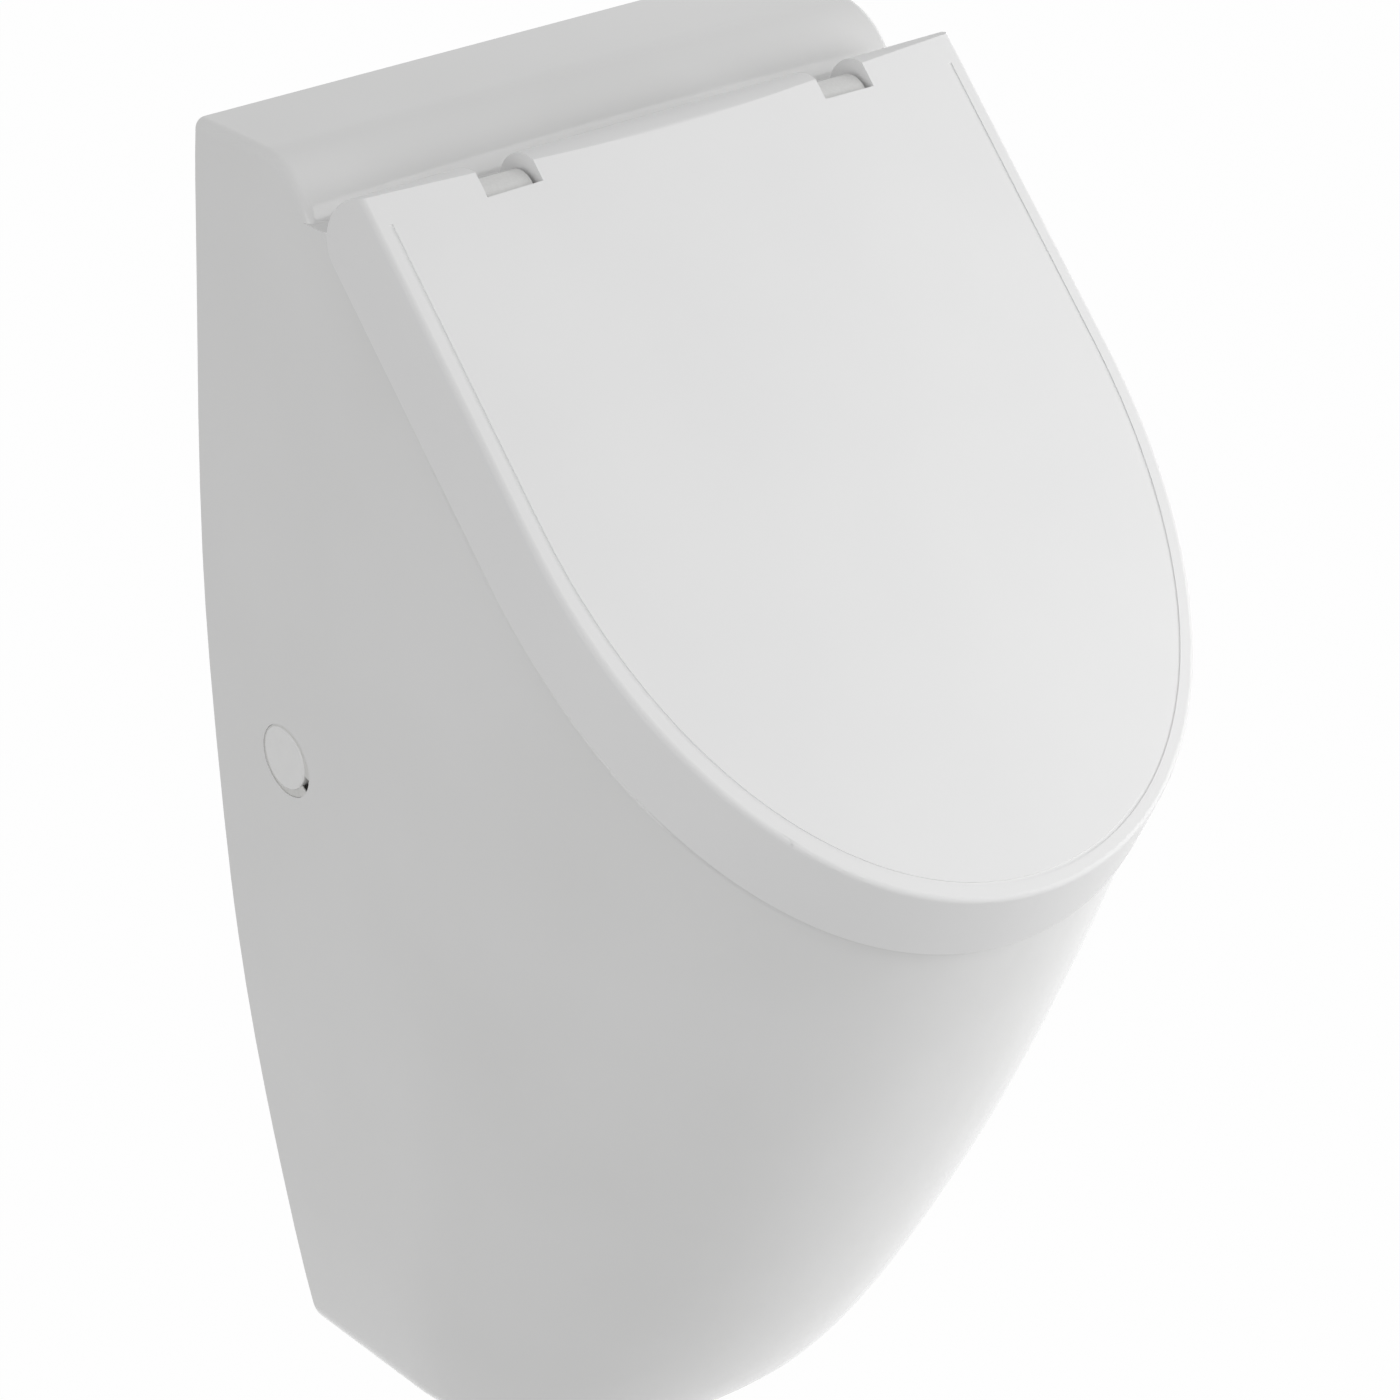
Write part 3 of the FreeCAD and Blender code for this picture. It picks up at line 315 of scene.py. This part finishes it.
def wind_thread(name, body, slot, **sizes):
    """Makes threads of these sizes as one plain mesh on a body."""
    blank = bpy.data.objects.new(name + "_blank", bpy.data.meshes.new(name + "_blank"))
    bpy.context.scene.collection.objects.link(blank)
    cutter = blank.modifiers.new("thread", "NODES")
    cutter.node_group = screw_thread
    for socket in screw_thread.interface.items_tree:
        if socket.in_out == "INPUT":
            cutter[socket.identifier] = sizes[socket.name.lower()]
    made = blank.evaluated_get(bpy.context.evaluated_depsgraph_get())
    mesh = bpy.data.meshes.new_from_object(made)
    bpy.data.objects.remove(blank)
    work = bmesh.new()
    work.from_mesh(mesh)
    bmesh.ops.recalc_face_normals(work, faces=work.faces)
    for face in work.faces:
        face.smooth = True
    work.to_mesh(mesh)
    work.free()
    piece = bpy.data.objects.new(name, mesh)
    bpy.context.scene.collection.objects.link(piece)
    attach(piece, body)


nut_low, nut_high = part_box("spray_lock_nut")
tail_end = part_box("spray_head")[1][1]
tail_start = nut_high[1]
tail_bare = 0.0016
wind_thread(
    "spray_head_thread", "urinal", "plated",
    radius=0.0126, pitch=0.0018, length=tail_end - tail_start - tail_bare, ridge=0.00045,
    turn=(-math.pi / 2, 0.0, 0.0), first=(0.0, (tail_end + tail_start) / 2, (nut_low[2] + nut_high[2]) / 2),
    apart=(0.0, 0.0, 0.0), count=1, finish=bright_plate,
)

# Side fixings.
# A plastic sleeve lines each hole in the ceramic, and a steel screw goes through it into the bracket. A
# glossy push-in cap hides the head, inside the sleeve's collar, which has a gap for prying it out.

fixing_steel, steel_shader = finish_shader("fixing_steel", (0.56, 0.56, 0.57), 0.3, 1.0)
steel_lines = object_noise(fixing_steel, 420.0, 4.0, (0.1, 1.0, 1.0))
roughness_spread(fixing_steel, steel_shader, steel_lines.outputs["Fac"], 0.2, 0.42)
for side in ("left", "right"):
    dress("screw_sleeve_" + side, white_moulding, "urinal")
    dress("side_screw_" + side, fixing_steel, "urinal")

screw_low, screw_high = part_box("side_screw_right")
hole_middle = ((screw_low[1] + screw_high[1]) / 2, (screw_low[2] + screw_high[2]) / 2)
thread_in = 0.0039
thread_x = screw_low[0] + thread_in
wind_thread(
    "side_screw_threads", "urinal", "steel",
    radius=0.0039, pitch=0.00125, length=0.0066, ridge=0.00036, turn=(0.0, math.pi / 2, 0.0),
    first=(-thread_x, *hole_middle), apart=(thread_x * 2, 0.0, 0.0), count=2, finish=fixing_steel,
)

# The cap's colour is a little whiter than the glaze. Part of that is its own white plastic, and part is
# painted light for the brighter light its face catches.
cap_gloss, cap_shader = finish_shader("cap_gloss", (0.91, 0.91, 0.905), 0.22, 0.0)
cap_grain = object_noise(cap_gloss, 180.0, 2.0)
colour_spread(cap_gloss, cap_shader, cap_grain.outputs["Fac"], (0.90, 0.90, 0.895), (0.92, 0.92, 0.915))
roughness_spread(cap_gloss, cap_shader, cap_grain.outputs["Fac"], 0.18, 0.28)
cap_low, cap_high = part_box("cover_cap_right")
cap_middle = ((cap_low[1] + cap_high[1]) / 2, (cap_low[2] + cap_high[2]) / 2)
cap_plate = 0.0022
plate_slack = 0.0001
cap_sunk = 0.0002
probe = 0.017
clear_of_side = 0.3


def side_reach(back, up):
    """How far out the ceramic's side lies, at a place given from the middle of the screw hole."""
    start = Vector((clear_of_side, hole_middle[0] + back, hole_middle[1] + up))
    return ware.ray_cast(start, Vector((-1.0, 0.0, 0.0)))[0].x


behind, ahead, above, below = (
    side_reach(*way) for way in ((probe, 0.0), (-probe, 0.0), (0.0, probe), (0.0, -probe))
)
lean_back = (behind - ahead) / (2 * probe)
lean_up = (above - below) / (2 * probe)
side_middle = (behind + ahead + above + below) / 4


def cap_level(y, z):
    """How far out the cap's face lies when it leans as the side does."""
    return side_middle - cap_sunk + lean_back * (y - hole_middle[0]) + lean_up * (z - hole_middle[1])


for side in ("left", "right"):
    cap = dress("cover_cap_" + side, cap_gloss, "urinal")
    for vertex in cap.data.vertices:
        if abs(vertex.co.x) > cap_high[0] - cap_plate - plate_slack:
            shift = cap_level(vertex.co.y, vertex.co.z) - cap_high[0]
            vertex.co.x += math.copysign(shift, vertex.co.x)


def round_spot(middle, radius, angle):
    """The place at an angle on a circle in the plane of the caps."""
    return middle[0] + radius * math.cos(angle), middle[1] + radius * math.sin(angle)


pry_way = math.atan2(hole_middle[1] - cap_middle[1], hole_middle[0] - cap_middle[0])
pry_half = math.radians(13.0)
collar_inner = 0.0124
collar_outer = 0.0145
collar_sunk = 0.0001
collar_dip = 0.0003
collar_thick = 0.0005
collar_steps = 90
collars = bmesh.new()
for side in (-1, 1):
    rings = []
    for step in range(collar_steps + 1):
        angle = pry_way + pry_half + (2 * math.pi - 2 * pry_half) * step / collar_steps
        sunk = collar_sunk + collar_dip * (1 + math.cos(angle - pry_way)) / 2
        inner = round_spot(cap_middle, collar_inner, angle)
        outer = round_spot(hole_middle, collar_outer, angle)
        corners = ((inner, 0.0), (outer, 0.0), (outer, collar_thick), (inner, collar_thick))
        rings.append([
            collars.verts.new((side * (cap_level(*spot) - sunk - deep), *spot))
            for spot, deep in corners
        ])
    for ring, following in zip(rings, rings[1:]):
        for one in range(4):
            two = (one + 1) % 4
            collars.faces.new((ring[one], ring[two], following[two], following[one]))
    collars.faces.new(rings[0])
    collars.faces.new(reversed(rings[-1]))
bmesh.ops.recalc_face_normals(collars, faces=collars.faces)
collar_mesh = bpy.data.meshes.new("sleeve_collars_and_painted_shade")
collars.to_mesh(collar_mesh)
collars.free()
# The collars are the sleeve's own white moulding, a shade darker than the glaze. That darker tone also stands
# in as painted shade for the recess round the cap.
collar_mesh.materials.append(white_moulding)
sleeve_collars_and_painted_shade = bpy.data.objects.new("sleeve_collars_and_painted_shade", collar_mesh)
bpy.context.scene.collection.objects.link(sleeve_collars_and_painted_shade)
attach(sleeve_collars_and_painted_shade, "urinal")

# Hinges.
# Die-cast posts with a white powder coat stand on thin pads on the rim. A stud from each goes through a
# rubber bush in the ceramic to a washer and nut below, and a steel pin crosses its head.

coated_post, post_shader = finish_shader("coated_post", (0.80, 0.80, 0.79), 0.32, 0.0)
post_peel = object_noise(coated_post, 900.0, 2.0)
colour_spread(coated_post, post_shader, post_peel.outputs["Fac"], (0.78, 0.78, 0.77), (0.82, 0.82, 0.81))
roughness_spread(coated_post, post_shader, post_peel.outputs["Fac"], 0.26, 0.4)
surface_relief(coated_post, post_shader, post_peel.outputs["Fac"], 0.15, 0.0002)
dress("hinge_pads", white_moulding, "urinal")
dress("hinge_bushes", black_rubber, "urinal")
dress("hinge_washers", white_moulding, "urinal")
dress("hinge_nuts", fixing_steel, "urinal")
for side in ("left", "right"):
    dress("hinge_post_" + side, coated_post, "urinal")
    dress("hinge_pin_" + side, polished_steel, "urinal")
    dress("hinge_bolt_" + side, fixing_steel, "urinal")

rim_slope = math.radians(46.5)
off_rim = Vector((0.0, -math.sin(rim_slope), math.cos(rim_slope)))
bolt_radius = 0.003
thread_up = 0.0077
bolt_low, bolt_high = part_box("hinge_bolt_right")
bolt_x = (bolt_low[0] + bolt_high[0]) / 2
bolt_end = Vector((
    -bolt_x,
    bolt_high[1] - bolt_radius * math.cos(rim_slope),
    bolt_low[2] + bolt_radius * math.sin(rim_slope),
))
wind_thread(
    "hinge_bolt_threads", "urinal", "steel",
    radius=0.00295, pitch=0.001, length=0.0138, ridge=0.00028, turn=(rim_slope, 0.0, 0.0),
    first=bolt_end + off_rim * thread_up, apart=(bolt_x * 2, 0.0, 0.0), count=2, finish=fixing_steel,
)

# Lid.
# One thick thermoset moulding in satin white, with a crowned top, a skirt and a fine groove inside its
# edge. Soft-close cartridges sit in its back edge and rubber buffers under it.

lid_satin, lid_shader = finish_shader("lid_satin", (0.88, 0.88, 0.88), 0.5, 0.0)
lid_shader.inputs["IOR"].default_value = 1.5
lid_cloud = object_noise(lid_satin, 14.0, 2.0)
colour_spread(lid_satin, lid_shader, lid_cloud.outputs["Fac"], (0.87, 0.87, 0.87), (0.89, 0.89, 0.888))
roughness_spread(lid_satin, lid_shader, lid_cloud.outputs["Fac"], 0.46, 0.54)
lid_peel = object_noise(lid_satin, 260.0, 1.0)
surface_relief(lid_satin, lid_shader, lid_peel.outputs["Fac"], 0.03, 0.0003)
lid_shell = dress("lid_shell", lid_satin, "lid", 20.0)

# The crown is a shallow barrel, and its few broad triangles are shaded as that barrel.
crown_rise = 0.005
crown_half = 0.1415
crown_top = 0.032
crown_radius = (crown_half ** 2 + crown_rise ** 2) / (crown_rise * 2)
crown_slack = 0.00006
least_upward = 0.99
rim_start = Vector((0.0, -0.0785, 0.22185))


def crown_offset(spot):
    """From the middle line of the lid's crown to a point, across the lid and off the rim."""
    height = (spot - rim_start).dot(off_rim)
    return Vector((spot.x, 0.0, 0.0)) + off_rim * (height - crown_top + crown_radius)


lid_mesh = lid_shell.data
lid_normals = [Vector(corner.vector) for corner in lid_mesh.corner_normals]
for face in lid_mesh.polygons:
    offsets = [crown_offset(lid_mesh.vertices[v].co) for v in face.vertices]
    on_crown = all(abs(way.length - crown_radius) < crown_slack for way in offsets)
    if on_crown and face.normal.dot(off_rim) > least_upward:
        for loop, way in zip(face.loop_indices, offsets):
            lid_normals[loop] = way.normalized()
lid_mesh.normals_split_custom_set(lid_normals)

pale_rubber, pale_shader = finish_shader("pale_rubber", (0.60, 0.60, 0.585), 0.6, 0.0)
pale_dust = object_noise(pale_rubber, 300.0, 4.0)
colour_spread(pale_rubber, pale_shader, pale_dust.outputs["Fac"], (0.56, 0.56, 0.545), (0.64, 0.64, 0.625))
dress("lid_buffers", pale_rubber, "lid")
for side in ("left", "right"):
    dress("lid_damper_" + side, grey_moulding, "lid")

# Room.
# A plain pale floor well below the urinal and white surroundings. A strong broad lamp stands to the
# right, and weaker ones stand in front, to the left and low in front.


def shown_rays(tree):
    """1 for rays that show the room, straight or in a reflection, and 0 for the light on the object."""
    path = tree.nodes.new("ShaderNodeLightPath")
    shown = path.outputs["Is Camera Ray"]
    for kind in ("Is Glossy Ray", "Is Transmission Ray"):
        either = tree.nodes.new("ShaderNodeMath")
        either.operation = "MAXIMUM"
        tree.links.new(shown, either.inputs[0])
        tree.links.new(path.outputs[kind], either.inputs[1])
        shown = either.outputs[0]
    return shown


floor_drop = 0.666
floor_half = 7.0
floor_glow_share = 0.985
floor_mesh = bpy.data.meshes.new("floor")
floor_corners = [
    (x * floor_half, y * floor_half, -floor_drop)
    for x, y in ((-1, -1), (1, -1), (1, 1), (-1, 1))
]
floor_mesh.from_pydata(floor_corners, [], [(0, 1, 2, 3)])
floor = bpy.data.objects.new("floor", floor_mesh)
bpy.context.scene.collection.objects.link(floor)
floor_paint, floor_shader = finish_shader("floor_paint", (0.5, 0.5, 0.5), 0.9, 0.0)
floor_nodes, floor_links = floor_paint.node_tree.nodes, floor_paint.node_tree.links
floor_glow = floor_nodes.new("ShaderNodeEmission")
floor_glow.inputs["Color"].default_value = (1.0, 1.0, 1.0, 1.0)
floor_glow.inputs["Strength"].default_value = 1.0
floor_share = floor_nodes.new("ShaderNodeMath")
floor_share.operation = "MULTIPLY"
floor_share.inputs[1].default_value = floor_glow_share
floor_links.new(shown_rays(floor_paint.node_tree), floor_share.inputs[0])
floor_mix = floor_nodes.new("ShaderNodeMixShader")
floor_links.new(floor_share.outputs[0], floor_mix.inputs["Fac"])
floor_links.new(floor_shader.outputs["BSDF"], floor_mix.inputs[1])
floor_links.new(floor_glow.outputs["Emission"], floor_mix.inputs[2])
floor_links.new(floor_mix.outputs["Shader"], floor_nodes["Material Output"].inputs["Surface"])
floor_mesh.materials.append(floor_paint)

sky_light = 0.51
sky_shown = 1.0
surround = bpy.data.worlds.new("surround")
bpy.context.scene.world = surround
surround.use_nodes = True
sky_nodes, sky_links = surround.node_tree.nodes, surround.node_tree.links
sky_level = sky_nodes.new("ShaderNodeMapRange")
sky_level.inputs["To Min"].default_value = sky_light
sky_level.inputs["To Max"].default_value = sky_shown
sky_links.new(shown_rays(surround.node_tree), sky_level.inputs["Value"])
sky_links.new(sky_level.outputs["Result"], sky_nodes["Background"].inputs["Strength"])
sky_nodes["Background"].inputs["Color"].default_value = (1.0, 1.0, 1.0, 1.0)

lamps = (
    ("right_key_lamp", (0.82, -0.57, 0.05), 14.1),
    ("front_key_lamp", (0.55, -0.68, 0.48), 5.9),
    ("left_fill_lamp", (-0.90, -0.40, 0.15), 5.9),
    ("low_fill_lamp", (0.10, -0.90, -0.35), 3.0),
)
lamp_away = 1.9
lamp_size = 1.3
lamp_aim = Vector((0.0, -0.15, 0.0))
for lamp_name, lamp_from, lamp_watts in lamps:
    lamp_data = bpy.data.lights.new(lamp_name, "AREA")
    lamp_data.shape = "DISK"
    lamp_data.size = lamp_size
    lamp_data.energy = lamp_watts
    lamp = bpy.data.objects.new(lamp_name, lamp_data)
    bpy.context.scene.collection.objects.link(lamp)
    lamp_way = Vector(lamp_from).normalized()
    lamp.location = lamp_aim + lamp_way * lamp_away
    lamp.rotation_mode = "QUATERNION"
    lamp.rotation_quaternion = lamp_way.to_track_quat("Z", "Y")

# Camera.
# It stands to the left and above, where the photograph was taken from, and looks through a long lens at
# the middle of the urinal.

eye_turn = math.radians(-39.56)
eye_rise = math.radians(26.91)
eye_away = 1.836
eye_aim = Vector((-0.0032, -0.1231, 0.0109))
level_share = math.cos(eye_rise)
eye_way = Vector((math.sin(eye_turn) * level_share, -math.cos(eye_turn) * level_share, math.sin(eye_rise)))
eye_data = bpy.data.cameras.new("photo_view")
eye_data.sensor_width = 36.0
eye_data.lens = 125.2
eye_data.clip_end = 50.0
eye = bpy.data.objects.new("photo_view", eye_data)
bpy.context.scene.collection.objects.link(eye)
eye.location = eye_aim + eye_way * eye_away
eye.rotation_mode = "QUATERNION"
eye.rotation_quaternion = eye_way.to_track_quat("Z", "Y")
bpy.context.scene.camera = eye
bpy.context.scene.view_settings.view_transform = "Standard"
